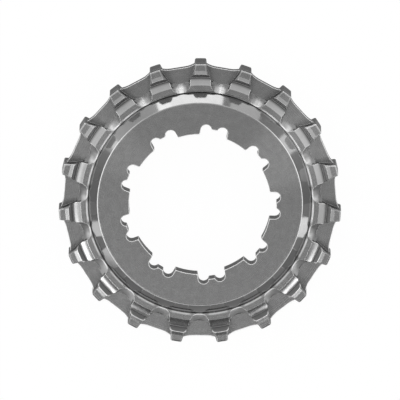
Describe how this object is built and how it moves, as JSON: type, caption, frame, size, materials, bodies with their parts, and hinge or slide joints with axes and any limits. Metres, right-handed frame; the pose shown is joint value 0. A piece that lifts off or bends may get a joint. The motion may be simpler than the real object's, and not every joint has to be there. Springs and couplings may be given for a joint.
{
  "type": "belt drive sprocket",
  "caption": "Toothed belt sprocket with a central guiding flange, sloping mud ports between the teeth and a splined bore in a raised hub with a polished cone.",
  "frame": {"origin": "on the bore's axis, in the plane of the back tooth ends that the part lies on", "axes": "+Z along the bore's axis towards the raised hub face, +Y through the middle of a tooth"},
  "size_m": [0.0642, 0.064, 0.01],
  "materials": {
    "sprocket_steel": "machined stainless steel, satin turned faces and a polished cone"
  },
  "bodies": {
    "root": {"belt_sprocket": "sprocket_steel"}
  },
  "joints": []
}
